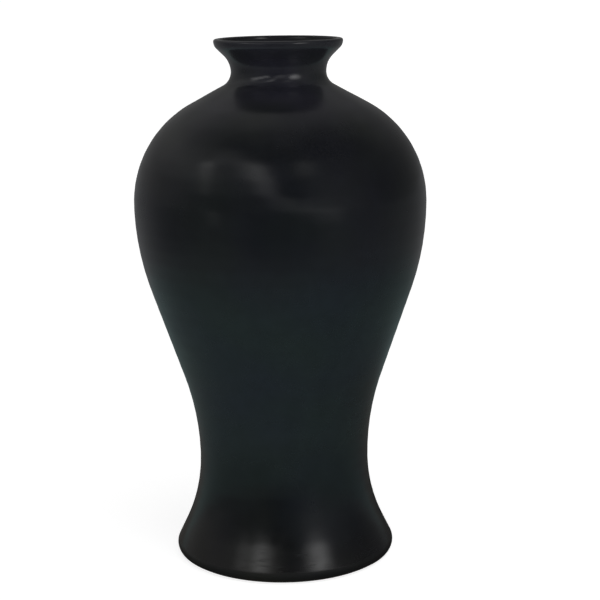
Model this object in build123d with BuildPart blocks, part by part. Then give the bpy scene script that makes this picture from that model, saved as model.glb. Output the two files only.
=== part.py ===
from build123d import *
import math
import os

# Meiping vase, thrown in four sections that are luted with slip and covered with glaze.
# Millimetres, +Z up. The origin is the centre of the plane that the foot ring rests on.

# Radii of the glazed outside where its wall stands upright
LIP_RADIUS = 48.6
NECK_RADIUS = 36.0
BELLY_RADIUS = 111.3
WAIST_RADIUS = 65.9
FOOT_RADIUS = 85.3

# Heights of those places, from the top for the upper ones and from the table for the waist
HEIGHT = 400.0
NECK_DROP = 24.4
BELLY_DROP = 122.3
WAIST_HEIGHT = 76.8

# Straight runs of the outside between its curves
LIP_RUN = 7.4
SHOULDER_RUN = 28.7
FLANK_RUN = 71.5
FOOT_RUN = 15.0

# Small curves of the outline
LIP_EDGE = 1.7
MOUTH_TURN = 2.8
NECK_ROOT = 11.5
FOOT_TURN = 1.6
FOOT_EDGE = 6.5

# Thicknesses
GLAZE = 0.4
WALL = 4.0
FLOOR = 8.0

# Dished floor inside, and the recess under the foot
FLOOR_DISH = 400.0
FOOT_RING = 9.0
RECESS_DEPTH = 6.0
RECESS_FILLET = 3.0
GLAZE_LINE = 1.5

# Stepped joints between the sections
LAP = 5.0
SLIP = 0.4

# Worked out from the sizes above
FULL_WALL = WALL + 2 * GLAZE
MID_WALL = GLAZE + WALL / 2
FLOOR_TOP = RECESS_DEPTH + FLOOR
FOOT_EDGE_CENTRE = FOOT_RADIUS - GLAZE - FOOT_EDGE
RECESS_RADIUS = FOOT_EDGE_CENTRE - FOOT_RING
REACH = 2 * max(LIP_RADIUS, BELLY_RADIUS, FOOT_RADIUS)

# Upright places on the outline, from the table up: radius and height
FOOT = (FOOT_RADIUS, FOOT_EDGE)
WAIST = (WAIST_RADIUS, WAIST_HEIGHT)
BELLY = (BELLY_RADIUS, HEIGHT - BELLY_DROP)
NECK = (NECK_RADIUS, HEIGHT - NECK_DROP)
LIP = (LIP_RADIUS, HEIGHT - LIP_EDGE)

# The sections are luted where the wall stands upright
JOINT_HEIGHTS = {"waist": WAIST[1], "belly": BELLY[1], "neck": NECK[1]}


def ogee(low, high, run, inset, swell=None, hollow=None):
    """Draw the outline from one upright place to the next: an arc, a straight run and an arc.

    swell is the radius at the wider place and hollow the one at the narrower place. With one of
    them given, the other follows from it, and with neither, the two are equal. inset moves the
    line in from the glazed outside.
    """
    step = abs(high[0] - low[0])
    rise = high[1] - low[1]
    turn = 2 * math.atan2(step, rise + run)
    both = (rise * math.sin(turn) - step * math.cos(turn)) / (1 - math.cos(turn))
    if hollow is not None:
        swell = both - hollow
    elif swell is None:
        swell = both / 2
    hollow = both - swell
    degrees = math.degrees(turn)
    if low[0] > high[0]:
        lower = CenterArc((low[0] - swell, low[1]), swell - inset, 0, degrees)
        upper = CenterArc((high[0] + hollow, high[1]), hollow + inset, 180 + degrees, -degrees)
    else:
        lower = CenterArc((low[0] + hollow, low[1]), hollow + inset, 180, -degrees)
        upper = CenterArc((high[0] - swell, high[1]), swell - inset, -degrees, degrees)
    Line(lower @ 1, upper @ 0)
    return upper


def filled(inset):
    """Half section of everything inside the outline, moved in by inset, up to the upright lip."""
    bottom = inset - GLAZE
    with BuildSketch() as section:
        with BuildLine():
            Line((0, bottom), (FOOT_EDGE_CENTRE, bottom))
            CenterArc((FOOT_EDGE_CENTRE, FOOT_EDGE), FOOT_EDGE - bottom, -90, 90)
            ogee(FOOT, WAIST, FOOT_RUN, inset, swell=FOOT_TURN + FULL_WALL)
            ogee(WAIST, BELLY, FLANK_RUN, inset)
            ogee(BELLY, NECK, SHOULDER_RUN, inset, hollow=NECK_ROOT)
            lip = ogee(NECK, LIP, LIP_RUN, inset, swell=MOUTH_TURN + FULL_WALL)
            Polyline(lip @ 1, (0, LIP[1]), (0, bottom))
        make_face()
    return section.sketch


def band(low, high):
    """Half section of a level slab between two heights."""
    with BuildSketch() as section:
        with Locations((0, low)):
            Rectangle(REACH, high - low, align=Align.MIN)
    return section.sketch


def recess(inset):
    """Half section of the hollow under the foot, made smaller by inset."""
    radius = RECESS_RADIUS - inset
    depth = RECESS_DEPTH - inset
    with BuildSketch() as section:
        with Locations((0, -GLAZE)):
            Rectangle(radius, depth + GLAZE, align=Align.MIN)
        corner = section.vertices().group_by(Axis.Y)[-1].sort_by(Axis.X)[-1]
        fillet(corner, RECESS_FILLET - inset)
    return section.sketch


def vessel(inset):
    """Half section of the pot with its outside moved in by inset and its inside moved out by it."""
    inner = FULL_WALL - inset
    with BuildSketch() as section:
        add(filled(inset))
        with BuildSketch(mode=Mode.SUBTRACT):
            add(filled(inner))
            with Locations((0, FLOOR_TOP + FLOOR_DISH)):
                Circle(FLOOR_DISH - GLAZE + inset, mode=Mode.INTERSECT)
        with BuildLine():
            outer_edge = CenterArc((LIP_RADIUS - LIP_EDGE, LIP[1]), LIP_EDGE - inset, 0, 90)
            inner_edge = CenterArc((LIP_RADIUS - FULL_WALL + LIP_EDGE, LIP[1]), LIP_EDGE - inset, 90, 90)
            Line(outer_edge @ 1, inner_edge @ 0)
            Line(inner_edge @ 1, outer_edge @ 0)
        make_face()
        add(recess(GLAZE - inset), mode=Mode.SUBTRACT)
    return section.sketch


def below(height):
    """Half section of what lies under a stepped joint, with its tongue on the inner half."""
    with BuildSketch() as section:
        add(TONGUE)
        add(band(-REACH, height + LAP - SLIP), mode=Mode.INTERSECT)
        add(band(-REACH, height - SLIP))
    return section.sketch


def above(height):
    """Half section of what lies over a stepped joint, with its skirt on the outer half."""
    with BuildSketch() as section:
        add(band(height, HEIGHT + REACH))
        with BuildSketch(mode=Mode.SUBTRACT):
            add(SKIRT)
            add(band(height, height + LAP), mode=Mode.INTERSECT)
    return section.sketch


CLAY = vessel(GLAZE)
GLAZED = vessel(0)
TONGUE = filled(MID_WALL + SLIP / 2)
SKIRT = filled(MID_WALL - SLIP / 2)
UNDER = {name: below(height) for name, height in JOINT_HEIGHTS.items()}
OVER = {name: above(height) for name, height in JOINT_HEIGHTS.items()}

# Everything inside the middle of the wall and of the foot ring, up to the crest of the lip
with BuildSketch() as inner_half:
    add(filled(MID_WALL))
    with Locations((0, LIP[1])):
        Rectangle(LIP_RADIUS - MID_WALL, LIP_EDGE, align=Align.MIN)
    Rectangle(FOOT_EDGE_CENTRE - FOOT_RING / 2, RECESS_DEPTH, align=Align.MIN)

# Clay sections, from the table up
with BuildPart() as foot_section:
    with BuildSketch(Plane.XZ):
        add(CLAY)
        add(UNDER["waist"], mode=Mode.INTERSECT)
    revolve(axis=Axis.Z)

with BuildPart() as body_section:
    with BuildSketch(Plane.XZ):
        add(CLAY)
        add(OVER["waist"], mode=Mode.INTERSECT)
        add(UNDER["belly"], mode=Mode.INTERSECT)
    revolve(axis=Axis.Z)

with BuildPart() as shoulder_section:
    with BuildSketch(Plane.XZ):
        add(CLAY)
        add(OVER["belly"], mode=Mode.INTERSECT)
        add(UNDER["neck"], mode=Mode.INTERSECT)
    revolve(axis=Axis.Z)

with BuildPart() as neck_section:
    with BuildSketch(Plane.XZ):
        add(CLAY)
        add(OVER["neck"], mode=Mode.INTERSECT)
    revolve(axis=Axis.Z)

pieces = {
    "foot_section": foot_section,
    "body_section": body_section,
    "shoulder_section": shoulder_section,
    "neck_section": neck_section,
}

# Rings of slip that fill the joints
for name in JOINT_HEIGHTS:
    with BuildPart() as slip_ring:
        with BuildSketch(Plane.XZ):
            add(CLAY)
            add(UNDER[name], mode=Mode.SUBTRACT)
            add(OVER[name], mode=Mode.SUBTRACT)
        revolve(axis=Axis.Z)
    pieces[f"{name}_slip"] = slip_ring

# Coats of glaze, which meet on the crest of the lip and leave the foot ring bare
with BuildPart() as outer_glaze:
    with BuildSketch(Plane.XZ):
        add(GLAZED)
        add(CLAY, mode=Mode.SUBTRACT)
        add(inner_half.sketch, mode=Mode.SUBTRACT)
        add(band(GLAZE_LINE, HEIGHT + REACH), mode=Mode.INTERSECT)
    revolve(axis=Axis.Z)

with BuildPart() as inner_glaze:
    with BuildSketch(Plane.XZ):
        add(GLAZED)
        add(CLAY, mode=Mode.SUBTRACT)
        add(inner_half.sketch, mode=Mode.INTERSECT)
        add(band(RECESS_DEPTH + FLOOR / 2, HEIGHT + REACH), mode=Mode.INTERSECT)
    revolve(axis=Axis.Z)

with BuildPart() as base_glaze:
    with BuildSketch(Plane.XZ):
        add(recess(0))
        add(recess(GLAZE), mode=Mode.SUBTRACT)
        add(band(GLAZE_LINE, HEIGHT), mode=Mode.INTERSECT)
    revolve(axis=Axis.Z)

pieces["outer_glaze"] = outer_glaze
pieces["inner_glaze"] = inner_glaze
pieces["base_glaze"] = base_glaze

os.makedirs("parts", exist_ok=True)
for name, piece in pieces.items():
    piece.part.label = name
    export_step(piece.part, f"parts/{name}.step")
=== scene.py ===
import math

import bpy
import numpy as np
from mathutils import Matrix, Vector


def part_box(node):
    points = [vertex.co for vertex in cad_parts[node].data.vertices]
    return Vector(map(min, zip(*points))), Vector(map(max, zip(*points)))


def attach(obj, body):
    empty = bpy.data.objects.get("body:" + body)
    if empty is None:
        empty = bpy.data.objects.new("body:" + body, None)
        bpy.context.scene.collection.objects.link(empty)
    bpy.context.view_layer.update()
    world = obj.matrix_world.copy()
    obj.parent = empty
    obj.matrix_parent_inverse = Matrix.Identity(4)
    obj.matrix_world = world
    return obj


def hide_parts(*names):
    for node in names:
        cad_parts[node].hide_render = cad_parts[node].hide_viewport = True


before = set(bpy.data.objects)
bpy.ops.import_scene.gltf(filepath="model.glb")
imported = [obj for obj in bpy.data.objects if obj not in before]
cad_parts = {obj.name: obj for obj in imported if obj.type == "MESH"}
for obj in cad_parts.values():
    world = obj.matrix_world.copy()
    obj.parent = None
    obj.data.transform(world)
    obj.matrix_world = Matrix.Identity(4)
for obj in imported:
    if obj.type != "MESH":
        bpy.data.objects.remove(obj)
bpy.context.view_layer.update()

# Looks of a black-glazed meiping vase. Metres, +Z up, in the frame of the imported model.

MM = 0.001

# Places where the glazed outside stands upright, read from the frame: radius and height
GLAZE = 0.4 * MM
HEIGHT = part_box("outer_glaze")[1].z
LIP_EDGE = 1.7 * MM
FOOT_EDGE = 6.5 * MM
FOOT = (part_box("foot_section")[1].x + GLAZE, FOOT_EDGE)
WAIST = (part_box("waist_slip")[1].x + GLAZE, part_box("body_section")[0].z)
BELLY = (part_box("outer_glaze")[1].x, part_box("shoulder_section")[0].z)
NECK = (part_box("neck_slip")[1].x + GLAZE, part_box("neck_section")[0].z)
LIP = (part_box("neck_section")[1].x + GLAZE, HEIGHT - LIP_EDGE)

# Straight runs and small curves of the outline, as in the solids
LIP_RUN = 7.4 * MM
SHOULDER_RUN = 28.7 * MM
FLANK_RUN = 71.5 * MM
FOOT_RUN = 15.0 * MM
MOUTH_TURN = 2.8 * MM
NECK_ROOT = 11.5 * MM
FOOT_TURN = 1.6 * MM

# Wall, floor and foot
FULL_WALL = 4.8 * MM
MID_WALL = FULL_WALL / 2
FLOOR_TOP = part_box("inner_glaze")[0].z
FLOOR_DISH = 400.0 * MM
GLAZE_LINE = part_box("outer_glaze")[0].z
RECESS_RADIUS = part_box("base_glaze")[1].x
RECESS_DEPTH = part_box("base_glaze")[1].z
RECESS_FILLET = 3.0 * MM

# Fineness of the meshes
OUTER_SIDES = 192
INNER_SIDES = 128
BASE_SIDES = 96
FINE_STEP = 2.2 * MM
COARSE_STEP = 5.0 * MM
SMALLEST_ARC_STEPS = 8
SAME_PLACE = 0.001 * MM
SHARP_ANGLE = 50.0

# Seam of the meshes and of their UV map, at the back
SEAM = math.pi / 2
UV_MAP = "OFBake"

# Marks of the making: throwing spiral, slow wobble of the wall, wavy end of the glaze
SPIRAL_PITCH = 11.0 * MM
SPIRAL_DEPTH = 0.035 * MM
WOBBLE_DEPTH = 0.08 * MM
WOBBLE_WAVES = ((2, 0.150, 0.4), (3, 0.110, 2.1), (5, 0.075, 4.0))
EDGE_WAVES = ((3, 0.5, 0.3), (7, 0.3, 1.9), (13, 0.2, 5.1))
EDGE_RISE = 0.9 * MM
EDGE_REACH = 14.0 * MM
BEAD = 1.0 * MM


def arc(centre, radius, start, turn, step):
    """Points along an arc, from angle start through turn."""
    count = max(SMALLEST_ARC_STEPS, math.ceil(abs(turn) * radius / step))
    angles = start + turn * np.linspace(0, 1, count + 1)
    return np.stack([centre[0] + radius * np.cos(angles), centre[1] + radius * np.sin(angles)], 1)


def bends(low, high, run):
    """Turn of the outline between two upright places, and the radii of its two arcs added up."""
    rise = high[1] - low[1]
    widening = abs(high[0] - low[0])
    turn = 2 * math.atan2(widening, rise + run)
    both = (rise * math.sin(turn) - widening * math.cos(turn)) / (1 - math.cos(turn))
    return turn, both


def ogee(low, high, run, inset, step, swell=None, hollow=None):
    """Outline from one upright place to the next: an arc, a straight run and an arc.

    swell is the radius at the wider place and hollow the one at the narrower place. With one of
    them given, the other follows from it, and with neither, the two are equal.
    """
    turn, both = bends(low, high, run)
    if hollow is not None:
        swell = both - hollow
    elif swell is None:
        swell = both / 2
    hollow = both - swell
    if low[0] > high[0]:
        lower = arc((low[0] - swell, low[1]), swell - inset, 0, turn, step)
        upper = arc((high[0] + hollow, high[1]), hollow + inset, math.pi + turn, -turn, step)
    else:
        lower = arc((low[0] + hollow, low[1]), hollow + inset, math.pi, -turn, step)
        upper = arc((high[0] - swell, high[1]), swell - inset, -turn, turn, step)
    return np.concatenate([lower, upper])


def wall(inset, step):
    """Outline from the foot to the upright lip, moved in by inset."""
    return np.concatenate([
        ogee(FOOT, WAIST, FOOT_RUN, inset, step, swell=FOOT_TURN + FULL_WALL),
        ogee(WAIST, BELLY, FLANK_RUN, inset, step),
        ogee(BELLY, NECK, SHOULDER_RUN, inset, step, hollow=NECK_ROOT),
        ogee(NECK, LIP, LIP_RUN, inset, step, swell=MOUTH_TURN + FULL_WALL),
    ])


def spaced(points, step):
    """The same line with its long stretches divided, so that no two points are further apart than step."""
    kept = [points[0]]
    for point in points[1:]:
        length = np.linalg.norm(point - kept[-1])
        if length < SAME_PLACE:
            continue
        count = math.ceil(length / step)
        start = kept[-1]
        kept.extend(start + (point - start) * share for share in np.arange(1, count + 1) / count)
    return np.array(kept)


def outer_line(inset, step):
    """Outside of the coat, from the glaze line near the table up to the middle of the crest."""
    centre = (FOOT[0] - GLAZE - FOOT_EDGE, FOOT_EDGE)
    radius = FOOT_EDGE + GLAZE - inset
    start = math.asin((GLAZE_LINE - FOOT_EDGE) / radius)
    crest = (LIP[0] - LIP_EDGE, LIP[1])
    points = np.concatenate([
        arc(centre, radius, start, -start, step),
        wall(inset, step),
        arc(crest, LIP_EDGE - inset, 0, math.pi / 2, step),
        [[LIP[0] - MID_WALL, HEIGHT - inset]],
    ])
    return spaced(points, step)


def inner_line(inset, step):
    """Inside of the coat, from the middle of the crest down to the centre of the floor."""
    crest = (LIP[0] - FULL_WALL + LIP_EDGE, LIP[1])
    down = wall(FULL_WALL - inset, step)[::-1]
    dish = FLOOR_DISH - GLAZE + inset
    dish_centre = FLOOR_TOP + FLOOR_DISH
    floor = dish_centre - np.sqrt(dish ** 2 - down[:, 0] ** 2)
    down = down[down[:, 1] > floor]
    rim = down[-1, 0]
    slope = math.asin(rim / dish)
    floor_arc = arc((0, dish_centre), dish, slope - math.pi / 2, -slope, step)
    points = np.concatenate([
        [[LIP[0] - MID_WALL, HEIGHT - inset]],
        arc(crest, LIP_EDGE - inset, math.pi / 2, math.pi / 2, step),
        down,
        floor_arc,
    ])
    return spaced(points, step)


def recess_line(inset, step):
    """Glazed hollow under the foot, from its glaze line in to the centre."""
    radius = RECESS_RADIUS - inset
    depth = RECESS_DEPTH - inset
    fillet = RECESS_FILLET - inset
    points = np.concatenate([
        [[radius, GLAZE_LINE]],
        arc((radius - fillet, depth - fillet), fillet, 0, math.pi / 2, step),
        [[0, depth]],
    ])
    return spaced(points, step)


def along(points):
    """Distance of each point from the first, measured along the line."""
    steps = np.linalg.norm(np.diff(points, axis=0), axis=1)
    return np.concatenate([[0], np.cumsum(steps)])


def normals(points):
    """Directions square to the line, to its right going along it."""
    ahead = np.gradient(points, axis=0)
    ahead /= np.linalg.norm(ahead, axis=1)[:, None]
    return np.stack([ahead[:, 1], -ahead[:, 0]], 1)


def spin(points, sides):
    """Rings of a line turned about the axis: an array of ring, side, (radius, height), and the angles."""
    angles = SEAM + 2 * math.pi * np.arange(sides) / sides
    return np.repeat(points[:, None, :], sides, 1), angles


def waves(angles, terms):
    """Sum of waves round the axis, each given as (count, size, phase)."""
    return sum(size * np.sin(count * angles + phase) for count, size, phase in terms)


def thrown(rings, facing, angles):
    """Rings moved in, against facing, by the spiral of the throwing and a slow wobble of the wall."""
    height = rings[:, :, 1]
    turned = angles[None, :]
    swing = np.sin(2 * math.pi * height / SPIRAL_PITCH - turned)
    slow = sum(
        np.sin(count * turned + phase) * np.sin(2 * math.pi * height / length + phase)
        for count, length, phase in WOBBLE_WAVES
    )
    ends = np.clip((HEIGHT - height) / (HEIGHT - NECK[1]), 0, 1) * np.clip(height / WAIST[1], 0, 1)
    depth = SPIRAL_DEPTH * (swing - 1) + WOBBLE_DEPTH * (slow / len(WOBBLE_WAVES) - 1)
    depth = depth * ends
    return rings + depth[:, :, None] * facing[:, None, :]


def wavy_end(rings, points, angles):
    """Rings near the start of a line moved along it, so that the glaze ends in a wavy line."""
    distance = along(points)
    start = EDGE_RISE * (1 + waves(angles, EDGE_WAVES)) / 2
    moved = rings.copy()
    for index in np.flatnonzero(distance < EDGE_REACH):
        place = distance[index] + start * (1 - distance[index] / EDGE_REACH)
        for axis in range(2):
            moved[index, :, axis] = np.interp(place, distance, points[:, axis])
    return moved


def beaded(face, back, points):
    """Rings of the coat's face drawn in to its back over the first bit, as a rounded bead."""
    distance = along(points)
    share = np.sqrt(1 - (1 - np.clip(distance / BEAD, 0, 1)) ** 2)[:, None, None]
    return back + (face - back) * share


def new_piece(name, vertices, faces, maps):
    """Smooth mesh with a UV map, in the scene."""
    mesh = bpy.data.meshes.new(name)
    mesh.from_pydata(vertices, [], faces)
    layer = mesh.uv_layers.new(name=UV_MAP)
    layer.uv.foreach_set("vector", np.array(maps, np.float32).ravel())
    mesh.polygons.foreach_set("use_smooth", [True] * len(mesh.polygons))
    mesh.set_sharp_from_angle(angle=math.radians(SHARP_ANGLE))
    mesh.validate()
    piece = bpy.data.objects.new(name, mesh)
    bpy.context.scene.collection.objects.link(piece)
    return piece


def shell(name, face, back, angles, closes_on_axis):
    """Closed mesh between the rings of a coat's face and those of its back.

    Both run the same way. They are joined at their first rings, which may be one and the same, and,
    unless they close on the axis, at their last ones.
    """
    sides = len(angles)
    shared = 1 if np.allclose(face[0], back[0]) else 0
    rings = np.concatenate([face, back[shared:][::-1]])
    if closes_on_axis:
        rings = np.concatenate([face[:-1], back[shared:-1][::-1]])
    count = len(rings)
    radius, height = rings[:, :, 0], rings[:, :, 1]
    places = np.stack([radius * np.cos(angles), radius * np.sin(angles), height], 2).reshape(-1, 3)
    across = along(rings[:, 0])
    across /= across[-1] * (1 + 1 / count)
    vertices = [tuple(place) for place in places]
    faces = []
    maps = []
    last_of_face = len(face) - 2
    for ring in range(count):
        following = (ring + 1) % count
        if closes_on_axis and ring == last_of_face:
            continue
        high = across[ring + 1] if ring + 1 < count else 1.0
        for side in range(sides):
            beside = (side + 1) % sides
            corners = ((ring, side), (ring, beside), (following, beside), (following, side))
            faces.append([row * sides + column for row, column in corners])
            low_u, high_u = side / sides, (side + 1) / sides
            maps.extend([(low_u, across[ring]), (high_u, across[ring]), (high_u, high), (low_u, high)])
    if closes_on_axis:
        for ring, pole, order in ((last_of_face, face[-1, 0], 1), (last_of_face + 1, back[-1, 0], -1)):
            centre = len(vertices)
            vertices.append((0.0, 0.0, pole[1]))
            for side in range(sides):
                pair = [side, (side + 1) % sides][::order]
                faces.append([ring * sides + pair[0], ring * sides + pair[1], centre])
                pair_u = [side / sides, (side + 1) / sides][::order]
                maps.extend([(pair_u[0], across[ring]), (pair_u[1], across[ring]),
                             ((side + 0.5) / sides, across[ring])])
    return new_piece(name, vertices, faces, maps)


def resampled(points, like):
    """The line with as many points as like has, at the same shares of its length."""
    shares = along(like) / along(like)[-1]
    own = along(points) / along(points)[-1]
    return np.stack([np.interp(shares, own, points[:, axis]) for axis in range(2)], 1)


def outer_coat():
    """Glaze over the outside, with the marks of the throwing in its face."""
    line = outer_line(0, FINE_STEP)
    clay = resampled(outer_line(GLAZE, FINE_STEP), line)
    face, angles = spin(line, OUTER_SIDES)
    back, _ = spin(clay, OUTER_SIDES)
    face = thrown(face, normals(line), angles)
    face = wavy_end(face, line, angles)
    back = wavy_end(back, clay, angles)
    return shell("outer_glaze_coat", beaded(face, back, line), back, angles, False)


def inner_coat():
    """Glaze over the inside and the floor."""
    line = inner_line(0, COARSE_STEP)
    clay = resampled(inner_line(GLAZE, COARSE_STEP), line)
    face, angles = spin(line, INNER_SIDES)
    back, _ = spin(clay, INNER_SIDES)
    return shell("inner_glaze_coat", face, back, angles, True)


def base_coat():
    """Glaze in the hollow under the foot."""
    line = recess_line(GLAZE, COARSE_STEP)
    clay = resampled(recess_line(0, COARSE_STEP), line)
    face, angles = spin(line, BASE_SIDES)
    back, _ = spin(clay, BASE_SIDES)
    # The angles run the other way here, so that the faces look down, out of the hollow
    return shell("base_glaze_coat", beaded(face, back, line), back, angles[::-1], True)


WHITE = (1.0, 1.0, 1.0, 1.0)

# Sockets of a mix node for its factor and its two colours, and for the mixed colour
MIX_SOCKETS = (0, 6, 7)
MIX_RESULT = 2


class Nodes:
    """Short way to add and link the nodes of one material or world."""

    def __init__(self, tree):
        self.tree = tree
        tree.nodes.clear()

    def add(self, kind, **settings):
        """A new node with some of its properties set."""
        node = self.tree.nodes.new(kind)
        for name, value in settings.items():
            setattr(node, name, value)
        return node

    def link(self, source, target):
        self.tree.links.new(source, target)

    def noise(self, vector, scale, detail, roughness):
        """Noise from 0 to 1, mostly near the middle."""
        node = self.add("ShaderNodeTexNoise")
        node.inputs["Scale"].default_value = scale
        node.inputs["Detail"].default_value = detail
        node.inputs["Roughness"].default_value = roughness
        self.link(vector, node.inputs["Vector"])
        return node.outputs["Fac"]

    def stretched(self, vector, scale):
        """A vector with each of its parts scaled."""
        node = self.add("ShaderNodeMapping")
        node.inputs["Scale"].default_value = scale
        self.link(vector, node.inputs["Vector"])
        return node.outputs["Vector"]

    def ranged(self, value, low, high, to_low, to_high):
        """A value moved from the range low to high into another, and held within it."""
        node = self.add("ShaderNodeMapRange")
        limits = {"From Min": low, "From Max": high, "To Min": to_low, "To Max": to_high}
        for socket, number in limits.items():
            node.inputs[socket].default_value = number
        self.link(value, node.inputs["Value"])
        return node.outputs["Result"]

    def ramp(self, value, stops):
        """Colour by a value, from stops of place and colour."""
        node = self.add("ShaderNodeValToRGB")
        elements = node.color_ramp.elements
        while len(elements) < len(stops):
            elements.new(0.5)
        for element, (place, colour) in zip(elements, stops):
            element.position = place
            element.color = (*colour, 1.0)
        self.link(value, node.inputs["Fac"])
        return node.outputs["Color"]

    def math(self, operation, first, second=0.0):
        """Maths on two values, each linked or a plain number."""
        node = self.add("ShaderNodeMath", operation=operation)
        for socket, value in zip(node.inputs, (first, second)):
            if isinstance(value, (int, float)):
                socket.default_value = value
            else:
                self.link(value, socket)
        return node.outputs["Value"]

    def product(self, first, *others):
        """All the values multiplied."""
        for other in others:
            first = self.math("MULTIPLY", first, other)
        return first

    def total(self, first, *others):
        """All the values added."""
        for other in others:
            first = self.math("ADD", first, other)
        return first

    def vector(self, operation, vector, fixed=None, result="Value"):
        """Maths on a vector, and on a fixed one where the operation takes two."""
        node = self.add("ShaderNodeVectorMath", operation=operation)
        self.link(vector, node.inputs[0])
        if fixed is not None:
            node.inputs[1].default_value = fixed
        return node.outputs[result]

    def mixed(self, factor, first, second, blend="MIX"):
        """Two colours mixed by a factor, each linked or plain."""
        node = self.add("ShaderNodeMix", data_type="RGBA", blend_type=blend)
        for index, value in zip(MIX_SOCKETS, (factor, first, second)):
            socket = node.inputs[index]
            if isinstance(value, (int, float)):
                socket.default_value = value
            elif isinstance(value, tuple):
                socket.default_value = (*value, 1.0)
            else:
                self.link(value, socket)
        return node.outputs[MIX_RESULT]

    def glow(self, kind, strength, colour=None):
        """Emission or background of a fixed or linked strength, white unless a colour is linked."""
        node = self.add(kind)
        node.inputs["Color"].default_value = WHITE
        if colour is not None:
            self.link(colour, node.inputs["Color"])
        if isinstance(strength, float):
            node.inputs["Strength"].default_value = strength
        else:
            self.link(strength, node.inputs["Strength"])
        return node.outputs[0]

    def by_ray(self, mirrored, filling, shown):
        """Shader for reflections, one for diffuse light and one for what the camera sees."""
        ray = self.add("ShaderNodeLightPath")
        chosen = mirrored
        for kind, shader in (("Is Diffuse Ray", filling), ("Is Camera Ray", shown)):
            choice = self.add("ShaderNodeMixShader")
            self.link(ray.outputs[kind], choice.inputs["Fac"])
            self.link(chosen, choice.inputs[1])
            self.link(shader, choice.inputs[2])
            chosen = choice.outputs["Shader"]
        return chosen

    def bump(self, height, strength, distance):
        """Normal of a surface with some relief."""
        node = self.add("ShaderNodeBump")
        node.inputs["Strength"].default_value = strength
        node.inputs["Distance"].default_value = distance
        self.link(height, node.inputs["Height"])
        return node.outputs["Normal"]


def greys(stops):
    """Stops of a ramp that hold plain numbers, as the greys that a ramp takes."""
    return [(place, (value, value, value)) for place, value in stops]


def new_material(name):
    """A material with a plain shader, its helper and the shader itself."""
    material = bpy.data.materials.new(name)
    material.use_nodes = True
    nodes = Nodes(material.node_tree)
    shader = nodes.add("ShaderNodeBsdfPrincipled")
    output = nodes.add("ShaderNodeOutputMaterial")
    nodes.link(shader.outputs["BSDF"], output.inputs["Surface"])
    return material, nodes, shader


# Tints of the black glaze from the table to the lip: share of the height and colour. Besides the glaze's
# own near-black colour, they hold painted light and shade set to match lit tones: lighter on the neck and
# lip as painted light under the lip, and darker low on the foot between its highlights and on the top of
# the shoulder as painted shade
GLAZE_TINTS_AND_PAINTED_LIGHT = (
    (0.00, (0.0085, 0.0075, 0.0074)),
    (0.09, (0.0040, 0.0046, 0.0052)),
    (0.16, (0.0048, 0.0070, 0.0086)),
    (0.25, (0.0074, 0.0113, 0.0142)),
    (0.50, (0.0074, 0.0118, 0.0147)),
    (0.62, (0.0066, 0.0086, 0.0110)),
    (0.81, (0.0046, 0.0056, 0.0080)),
    (0.87, (0.0115, 0.0122, 0.0142)),
    (0.91, (0.0200, 0.0208, 0.0235)),
    (0.94, (0.0185, 0.0197, 0.0230)),
    (1.00, (0.0165, 0.0175, 0.0200)),
)

# Patches where the glaze turns greener and bluer
GREENER = (1.05, 1.15, 0.95)
BLUER = (0.95, 0.90, 1.10)

# Roughness of the glaze, glossiest at the lip and dullest half way up: share of the height and value
GLAZE_ROUGHNESS = (
    (0.00, 0.20),
    (0.12, 0.21),
    (0.24, 0.27),
    (0.52, 0.29),
    (0.64, 0.24),
    (0.93, 0.24),
    (1.00, 0.14),
)

# The lower edge of the foot is worn duller, from none at the first height to all at the second
WORN_EDGE = (10.5 * MM, 7.0 * MM)
WORN_ROUGHNESS = 0.27

# Noise patterns: scale in waves per metre, detail and roughness
DRIFT_NOISE = (9.0, 3.0, 0.5)
MOTTLE_NOISE = (85.0, 4.0, 0.6)
HUE_NOISE = (14.0, 2.0, 0.5)
GLOSS_NOISE = (20.0, 5.0, 0.6)
PEEL_NOISE = (520.0, 2.0, 0.5)
LINE_NOISE = (1.0, 1.0, 0.5)
CLOUD_NOISE = (40.0, 4.0, 0.5)
SPECK_NOISE = (900.0, 1.0, 0.5)
GRAIN_NOISE = (1400.0, 3.0, 0.65)
NOISE_RANGE = (0.3, 0.7)

# What the patterns of the glaze do: shift of the tints in shares of the height, change of brightness, hue
# and roughness
DRIFT = 0.06
MOTTLE = 0.12
HUE_RANGE = (0.35, 0.65)
GLOSS_CHANGE = 0.05

# Wheel lines all over and scratches near the foot: waves per metre in x, y and z, and their effect
WHEEL_STRETCH = (12.0, 12.0, 300.0)
SCRATCH_STRETCH = (70.0, 70.0, 700.0)
SCRATCH_RANGE = (0.55, 0.75)
SCRATCHED = (0.10 * HEIGHT, 0.02 * HEIGHT)
SCRATCH_ROUGHNESS = 0.12

# Relief of the glaze: shares of its patterns, strength and depth
WHEEL_SHARE = 0.5
PEEL_SHARE = 0.5
SCRATCH_SHARE = -0.4
GLAZE_RELIEF = (0.07, 0.1 * MM)
GLAZE_IOR = 1.5


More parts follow.
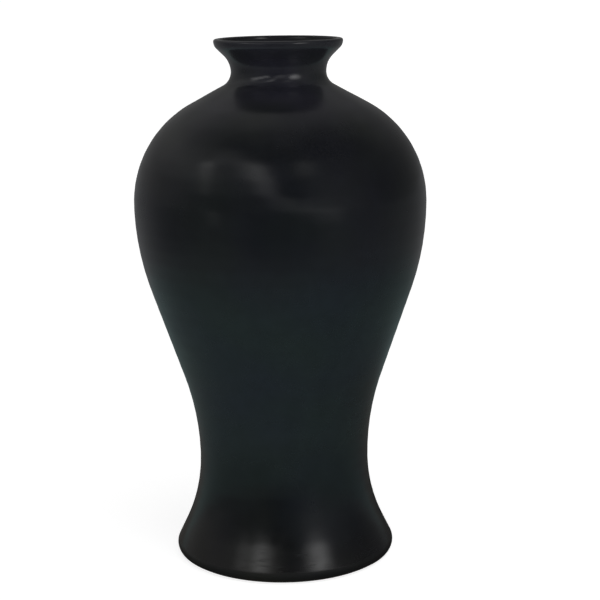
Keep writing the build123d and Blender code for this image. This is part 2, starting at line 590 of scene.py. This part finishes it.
def black_glaze():
    """Satin black glaze: tints by height with painted light and shade, mottling, wheel lines, foot
    scratches.
    """
    material, nodes, shader = new_material("satin_black_glaze")
    place = nodes.add("ShaderNodeTexCoord").outputs["Object"]
    parts = nodes.add("ShaderNodeSeparateXYZ")
    nodes.link(place, parts.inputs["Vector"])
    height = parts.outputs["Z"]

    drift = nodes.ranged(nodes.noise(place, *DRIFT_NOISE), *NOISE_RANGE, -DRIFT, DRIFT)
    level = nodes.total(nodes.math("DIVIDE", height, HEIGHT), drift)
    mottle = nodes.ranged(nodes.noise(place, *MOTTLE_NOISE), *NOISE_RANGE, 1 - MOTTLE, 1 + MOTTLE)
    hue = nodes.ranged(nodes.noise(place, *HUE_NOISE), *HUE_RANGE, 0.0, 1.0)
    # Tint by height, with painted light on the neck and lip and painted shade low on the foot and on the
    # shoulder
    tint_and_painted_light = nodes.mixed(1.0, nodes.ramp(level, GLAZE_TINTS_AND_PAINTED_LIGHT), mottle, blend="MULTIPLY")
    tint_and_painted_light = nodes.mixed(1.0, tint_and_painted_light, nodes.mixed(hue, GREENER, BLUER), blend="MULTIPLY")
    nodes.link(tint_and_painted_light, shader.inputs["Base Color"])

    lines = nodes.noise(nodes.stretched(place, SCRATCH_STRETCH), *LINE_NOISE)
    scratches = nodes.product(
        nodes.ranged(lines, *SCRATCH_RANGE, 0.0, 1.0),
        nodes.ranged(height, *SCRATCHED, 0.0, 1.0),
    )
    roughness = nodes.total(
        nodes.ranged(nodes.noise(place, *GLOSS_NOISE), *NOISE_RANGE, -GLOSS_CHANGE, GLOSS_CHANGE),
        nodes.product(scratches, SCRATCH_ROUGHNESS),
        nodes.ramp(level, greys(GLAZE_ROUGHNESS)),
        nodes.ranged(height, *WORN_EDGE, 0.0, WORN_ROUGHNESS),
    )
    nodes.link(roughness, shader.inputs["Roughness"])

    relief = nodes.total(
        nodes.product(nodes.noise(place, *PEEL_NOISE), PEEL_SHARE),
        nodes.product(nodes.noise(nodes.stretched(place, WHEEL_STRETCH), *LINE_NOISE), WHEEL_SHARE),
        nodes.product(scratches, SCRATCH_SHARE),
    )
    nodes.link(nodes.bump(relief, *GLAZE_RELIEF), shader.inputs["Normal"])
    shader.inputs["IOR"].default_value = GLAZE_IOR
    return material


# Bare clay and slip: lighter and darker tint, and what specks and grain do
CLAY_TINTS = ((0.058, 0.044, 0.035), (0.038, 0.028, 0.022))
SLIP_TINTS = ((0.072, 0.056, 0.045), (0.052, 0.040, 0.032))
SPECK_RANGE = (0.66, 0.72)
SPECK_SHADE = 0.35
CLAY_ROUGHNESS = (0.72, 0.92)
CLAY_RELIEF = (0.5, 0.2 * MM)


def stoneware(name, light, dark):
    """Bare fired clay: speckled, grainy and dull."""
    material, nodes, shader = new_material(name)
    place = nodes.add("ShaderNodeTexCoord").outputs["Object"]
    cloud = nodes.ranged(nodes.noise(place, *CLOUD_NOISE), *NOISE_RANGE, 0.0, 1.0)
    specks = nodes.ranged(nodes.noise(place, *SPECK_NOISE), *SPECK_RANGE, 0.0, 1.0)
    body = nodes.mixed(cloud, dark, light)
    body = nodes.mixed(specks, body, tuple(share * SPECK_SHADE for share in dark))
    nodes.link(body, shader.inputs["Base Color"])
    grain = nodes.noise(place, *GRAIN_NOISE)
    nodes.link(nodes.ranged(grain, *NOISE_RANGE, *CLAY_ROUGHNESS), shader.inputs["Roughness"])
    nodes.link(nodes.bump(grain, *CLAY_RELIEF), shader.inputs["Normal"])
    return material


def dress(piece, material):
    """Give a piece its material."""
    piece.data.materials.clear()
    piece.data.materials.append(material)


# Directions on the stage
TO_RIGHT = (1.0, 0.0, 0.0)
TO_FRONT = (0.0, -1.0, 0.0)

# Even light on the glaze's own colour, from the room and from the pale floor
ROOM_FILL = 0.12
FLOOR_FILL = 0.70

# The floor: its half width, level, colour and own glow as the camera sees it
FLOOR_HALF = 30.0
FLOOR_LEVEL = -0.2 * MM
FLOOR_COLOUR = (0.55, 0.55, 0.55)
FLOOR_SHOWN = 0.82

# Glow of the floor in reflections by the distance from the middle of a soft shade just behind the vase
SHADE_MIDDLE = (0.02, 0.15, 0.0)
FLOOR_GLOW = (
    (0.10, (0.030, 0.030, 0.030)),
    (0.20, (0.106, 0.100, 0.093)),
    (0.30, (0.156, 0.206, 0.204)),
    (0.48, (0.156, 0.208, 0.206)),
    (0.74, (0.182, 0.188, 0.192)),
    (1.00, (0.178, 0.181, 0.186)),
)

# The floor is weaker far off in front: distances, and cosines of directions, at which that starts and is
# full, and what is left. It is brighter on the right far off in front, and on the left elsewhere
FLOOR_FAR = (0.60, 1.00)
FLOOR_FORWARD = (-0.55, 0.00)
FLOOR_FAR_SHADE = 0.73
FLOOR_TO_RIGHT_BACK = -0.12
FLOOR_TO_RIGHT_FRONT = 0.15

# Dark strip of the floor straight in front: distances and cosines at which it starts and is full, and what
# is left. Dark ring round the foot, a painted contact shadow in the floor's glow and fill: radii at which
# it is darkest and at which it ends, and what is left
FRONT_STRIP = (0.45, 0.90)
FRONT_STRIP_WIDTH = (0.80, 0.97)
FRONT_STRIP_SHADE = 0.12
CONTACT = (0.078, 0.115)
CONTACT_SHADE = 0.30


def floor_in_reflections(nodes):
    """How the floor glows in reflections, and how it lights the glaze's own colour."""
    place = nodes.add("ShaderNodeTexCoord").outputs["Object"]
    distance = nodes.vector("DISTANCE", place, SHADE_MIDDLE)
    outward = nodes.vector("NORMALIZE", place, result="Vector")
    forward = nodes.vector("DOT_PRODUCT", outward, TO_FRONT)
    far = nodes.product(
        nodes.ranged(distance, *FLOOR_FAR, 0.0, 1.0),
        nodes.ranged(forward, *FLOOR_FORWARD, 0.0, 1.0),
    )
    lean = nodes.product(
        nodes.ranged(far, 0.0, 1.0, FLOOR_TO_RIGHT_BACK, FLOOR_TO_RIGHT_FRONT),
        nodes.vector("DOT_PRODUCT", outward, TO_RIGHT),
    )
    strip = nodes.product(
        nodes.ranged(nodes.vector("DOT_PRODUCT", place, TO_FRONT), *FRONT_STRIP, 0.0, 1.0),
        nodes.ranged(forward, *FRONT_STRIP_WIDTH, 0.0, 1.0),
    )
    # Painted contact shadow: the floor's glow and fill are darker close to the foot
    contact = nodes.ranged(nodes.vector("LENGTH", place), *CONTACT, CONTACT_SHADE, 1.0)
    strength = nodes.product(
        nodes.total(lean, 1.0),
        nodes.ranged(far, 0.0, 1.0, 1.0, FLOOR_FAR_SHADE),
        nodes.ranged(strip, 0.0, 1.0, 1.0, FRONT_STRIP_SHADE),
        contact,
    )
    mirrored = nodes.glow("ShaderNodeEmission", strength, nodes.ramp(distance, FLOOR_GLOW))
    filling = nodes.glow("ShaderNodeEmission", nodes.product(contact, FLOOR_FILL))
    return mirrored, filling


def pale_floor():
    """Material of the floor: pale to the camera, dimmer in reflections and in bounced light."""
    material = bpy.data.materials.new("pale_floor")
    material.use_nodes = True
    nodes = Nodes(material.node_tree)
    lit = nodes.add("ShaderNodeBsdfDiffuse")
    lit.inputs["Color"].default_value = (*FLOOR_COLOUR, 1.0)
    shown = nodes.add("ShaderNodeAddShader")
    nodes.link(nodes.glow("ShaderNodeEmission", FLOOR_SHOWN), shown.inputs[0])
    nodes.link(lit.outputs["BSDF"], shown.inputs[1])
    mirrored, filling = floor_in_reflections(nodes)
    output = nodes.add("ShaderNodeOutputMaterial")
    nodes.link(nodes.by_ray(mirrored, filling, shown.outputs["Shader"]), output.inputs["Surface"])
    return material


def stage_floor():
    """Level floor under the vase."""
    signs = ((-1, -1), (1, -1), (1, 1), (-1, 1))
    corners = [(x * FLOOR_HALF, y * FLOOR_HALF, FLOOR_LEVEL) for x, y in signs]
    mesh = bpy.data.meshes.new("floor")
    mesh.from_pydata(corners, [], [(0, 1, 2, 3)])
    mesh.materials.append(pale_floor())
    floor = bpy.data.objects.new("floor", mesh)
    bpy.context.scene.collection.objects.link(floor)


# The room in reflections: its glow by how far a direction points up
ROOM_GLOW = (
    (0.00, 0.16),
    (0.25, 0.15),
    (0.55, 0.13),
    (0.75, 0.09),
    (0.88, 0.07),
    (1.00, 0.10),
)

# It is brighter on the right in front and on the left at the back, with a soft change between
ROOM_TURN = (-0.75, 0.00)
ROOM_TO_RIGHT_FRONT = 0.60
ROOM_TO_RIGHT_BACK = -0.36

# Brighter high up at the back: direction, cosines at which it starts and is full, glow and lean
BACK_UP = (0.0, 0.45, 0.89)
BACK_RANGE = (0.78, 0.97)
BACK_GLOW = 0.18
BACK_TO_RIGHT = -0.5

# Brighter above the horizon on both sides: how far to the side and up it starts and is full, glow and lean
SIDE_RANGE = (0.35, 0.80)
SIDE_RISE = (0.24, 0.50)
SIDE_GLOW = 0.115
SIDE_TO_RIGHT = -0.9

# Dark straight in front: direction, cosines at which it starts and is full, and what is left
DARK_FRONT = (0.0, -0.97, 0.24)
DARK_RANGE = (0.90, 0.97)
DARK_SHADE = 0.35


def room_in_reflections(nodes):
    """How brightly the room glows in reflections, by direction."""
    direction = nodes.add("ShaderNodeTexCoord").outputs["Generated"]
    parts = nodes.add("ShaderNodeSeparateXYZ")
    nodes.link(direction, parts.inputs["Vector"])
    right, back, up = parts.outputs
    lean = nodes.product(nodes.ranged(back, *ROOM_TURN, ROOM_TO_RIGHT_FRONT, ROOM_TO_RIGHT_BACK), right)
    walls = nodes.product(nodes.ramp(up, greys(ROOM_GLOW)), nodes.total(lean, 1.0))
    behind = nodes.product(
        nodes.ranged(nodes.vector("DOT_PRODUCT", direction, BACK_UP), *BACK_RANGE, 0.0, BACK_GLOW),
        nodes.total(nodes.product(right, BACK_TO_RIGHT), 1.0),
    )
    sides = nodes.product(
        nodes.ranged(nodes.math("ABSOLUTE", right), *SIDE_RANGE, 0.0, SIDE_GLOW),
        nodes.ranged(up, *SIDE_RISE, 0.0, 1.0),
        nodes.total(nodes.product(right, SIDE_TO_RIGHT), 1.0),
    )
    ahead = nodes.vector("DOT_PRODUCT", direction, DARK_FRONT)
    return nodes.product(
        nodes.total(walls, behind, sides),
        nodes.ranged(ahead, *DARK_RANGE, 1.0, DARK_SHADE),
    )


def stage_world():
    """Room: white to the camera, even for diffuse light, and dim with soft differences in reflections."""
    world = bpy.data.worlds.new("studio")
    bpy.context.scene.world = world
    world.use_nodes = True
    nodes = Nodes(world.node_tree)
    strengths = (room_in_reflections(nodes), ROOM_FILL, 1.0)
    chosen = nodes.by_ray(*(nodes.glow("ShaderNodeBackground", strength) for strength in strengths))
    output = nodes.add("ShaderNodeOutputWorld")
    nodes.link(chosen, output.inputs["Surface"])


def aimed(place, target):
    """Matrix of something at place that looks at target along its own -Z."""
    turn = (Vector(target) - Vector(place)).to_track_quat("-Z", "Y")
    return Matrix.Translation(place) @ turn.to_matrix().to_4x4()


def around(height, azimuth, elevation, distance):
    """Place in some direction from the axis at some height. Azimuth counts from the front to the right."""
    side, up = math.radians(azimuth), math.radians(elevation)
    offset = Vector((math.sin(side) * math.cos(up), -math.cos(side) * math.cos(up), math.sin(up)))
    return Vector((0.0, 0.0, height)) + offset * distance


# Angles of the lamps are in degrees, and their sizes and distances in metres

# Curved row of soft lamps in front of the belly: azimuth, elevation, size and glow. They look a little
# below the place on the shoulder that mirrors them to the camera, so that little of them shows on the neck
BELLY_LAMPS = (
    (-50.0, -5.0, 0.18, 0.34),
    (-59.0, 18.0, 0.16, 0.35),
    (-62.0, 24.5, 0.16, 0.55),
    (-67.0, 34.0, 0.20, 1.14),
    (-62.5, 42.5, 0.17, 0.32),
    (-54.0, 46.0, 0.19, 0.32),
    (-43.0, 45.5, 0.22, 0.38),
    (-31.5, 41.5, 0.27, 0.66),
    (-22.0, 37.5, 0.31, 1.20),
    (-15.5, 31.0, 0.31, 1.10),
    (-11.5, 23.5, 0.28, 0.80),
    (-7.0, 15.5, 0.25, 0.46),
    (-1.0, 9.5, 0.24, 0.37),
    (7.5, 6.0, 0.24, 0.40),
    (18.5, 3.0, 0.24, 0.43),
    (29.5, -0.5, 0.24, 0.43),
    (40.0, -2.0, 0.24, 0.44),
    (23.7, 40.5, 0.33, 0.58),
)
BELLY_LAMP_HEIGHT = 0.29
BELLY_LAMP_DISTANCE = 1.0
BELLY_LAMP_SPREAD = 20.0
VIEW_TILT = 12.0
AIM_BELOW = 45.0 * MM

# Lamps close to the foot: azimuth, elevation, width, height and glow
FOOT_LAMPS = {
    "left": (-29.5, 29.0, 0.36, 0.17, 1.80),
    "far_left": (-48.0, 26.0, 0.14, 0.17, 0.60),
    "right": (39.0, 29.0, 0.36, 0.17, 3.10),
}
FOOT_LAMP_HEIGHT = 0.02
FOOT_LAMP_DISTANCE = 0.55
FOOT_LAMP_SPREAD = 32.0

# Small lamps close to the neck: azimuth, elevation, width, height, glow and spread
NECK_LAMPS = (
    (-56.0, 19.0, 0.06, 0.04, 1.5, 50.0),
    (-42.0, 14.5, 0.06, 0.04, 1.5, 50.0),
    (-28.0, 10.0, 0.06, 0.04, 1.2, 50.0),
    (4.0, 12.0, 0.12, 0.08, 0.45, 40.0),
    (37.0, 13.0, 0.10, 0.10, 2.7, 42.0),
)
NECK_LAMP_HEIGHT = 0.376
NECK_LAMP_DISTANCE = 0.2

# Open card low in front, which lights the colour under the lip
CARD_HEIGHT = 0.385
CARD_ELEVATION = -18.0
CARD_DISTANCE = 0.85
CARD_SIZE = (0.9, 0.2)
CARD_GLOW = 4.3
OPEN_SPREAD = 180.0

# Wide even light from above
OVERHEAD_PLACE = (0.4, -0.6, 2.0)
OVERHEAD_ENERGY = 1.0
OVERHEAD_ANGLE = 60.0


def lamp(name, place, target, size, glow, spread):
    """Round soft lamp at place that looks at target.

    glow is how bright its face looks from straight ahead, and spread the angle outside which its
    honeycomb lets no light through.
    """
    light = bpy.data.lights.new(name, "AREA")
    light.shape = "ELLIPSE"
    light.size, light.size_y = size
    light.spread = math.radians(spread)
    half = light.spread / 2
    area = math.pi / 4 * size[0] * size[1]
    light.energy = glow * math.pi * area * (1 - half / math.tan(half))
    piece = bpy.data.objects.new(name, light)
    piece.matrix_world = aimed(place, target)
    piece.visible_camera = False
    bpy.context.scene.collection.objects.link(piece)
    return piece


def belly_lamps():
    """Row of lamps whose reflection is the curved band on the belly."""
    curve = bends(BELLY, NECK, SHOULDER_RUN)[1] - NECK_ROOT
    for number, (azimuth, elevation, size, glow) in enumerate(BELLY_LAMPS):
        place = around(BELLY_LAMP_HEIGHT, azimuth, elevation, BELLY_LAMP_DISTANCE)
        facing = math.radians((elevation + VIEW_TILT) / 2)
        radius = BELLY[0] - curve * (1 - math.cos(facing))
        target = around(BELLY[1] + curve * math.sin(facing) - AIM_BELOW, azimuth / 2, 0.0, radius)
        lamp(f"belly_lamp_{number}", place, target, (size, size), glow, BELLY_LAMP_SPREAD)


def axis_lamp(name, height, azimuth, elevation, distance, size, glow, spread):
    """Lamp in some direction from the axis at some height, looking at that place on the axis."""
    place = around(height, azimuth, elevation, distance)
    return lamp(name, place, (0.0, 0.0, height), size, glow, spread)


def foot_lamps():
    """Lamps for the bright patches on the foot."""
    for name, (azimuth, elevation, width, height, glow) in FOOT_LAMPS.items():
        axis_lamp(f"{name}_foot_lamp", FOOT_LAMP_HEIGHT, azimuth, elevation, FOOT_LAMP_DISTANCE,
                  (width, height), glow, FOOT_LAMP_SPREAD)


def neck_lamps():
    """Lamps for the streak and the spot on the neck."""
    for number, (azimuth, elevation, width, height, glow, spread) in enumerate(NECK_LAMPS):
        axis_lamp(f"neck_lamp_{number}", NECK_LAMP_HEIGHT, azimuth, elevation, NECK_LAMP_DISTANCE,
                  (width, height), glow, spread)


def even_light():
    """Light that shows the glaze's own colour and leaves no highlight."""
    light = bpy.data.lights.new("overhead", "SUN")
    light.energy = OVERHEAD_ENERGY
    light.angle = math.radians(OVERHEAD_ANGLE)
    overhead = bpy.data.objects.new("overhead", light)
    overhead.matrix_world = aimed(OVERHEAD_PLACE, (0.0, 0.0, HEIGHT / 2))
    bpy.context.scene.collection.objects.link(overhead)
    card = axis_lamp("front_card", CARD_HEIGHT, 0.0, CARD_ELEVATION, CARD_DISTANCE,
                     CARD_SIZE, CARD_GLOW, OPEN_SPREAD)
    for piece in (overhead, card):
        piece.visible_glossy = False


# Camera of the photograph
CAMERA_PLACE = (0.0, -1.2008, 0.4577)
CAMERA_AIM = (0.0140, 0.0, 0.19975)
CAMERA_ROLL = -0.7
LENS = 95.25
SENSOR = 36.0


def camera():
    """Camera at the photograph's height, distance and tilt."""
    data = bpy.data.cameras.new("camera")
    data.lens = LENS
    data.sensor_width = SENSOR
    eye = bpy.data.objects.new("camera", data)
    roll = Matrix.Rotation(math.radians(CAMERA_ROLL), 4, "Z")
    eye.matrix_world = aimed(CAMERA_PLACE, CAMERA_AIM) @ roll
    bpy.context.scene.collection.objects.link(eye)
    bpy.context.scene.camera = eye


def vase():
    """Coats of glaze in place of their plain solids, and clay and slip on the solids under them."""
    glaze = black_glaze()
    clay = stoneware("bare_stoneware", *CLAY_TINTS)
    slip = stoneware("fired_slip", *SLIP_TINTS)
    coats = {"outer_glaze": outer_coat(), "inner_glaze": inner_coat(), "base_glaze": base_coat()}
    for node, coat in coats.items():
        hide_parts(node)
        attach(coat, "root")
        dress(coat, glaze)
    for node in ("foot_section", "body_section", "shoulder_section", "neck_section"):
        dress(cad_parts[node], clay)
    for node in ("waist_slip", "belly_slip", "neck_slip"):
        dress(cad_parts[node], slip)


def stage():
    """Floor, room, lights and camera."""
    stage_floor()
    stage_world()
    belly_lamps()
    foot_lamps()
    neck_lamps()
    even_light()
    camera()
    bpy.context.scene.view_settings.view_transform = "Standard"


vase()
stage()
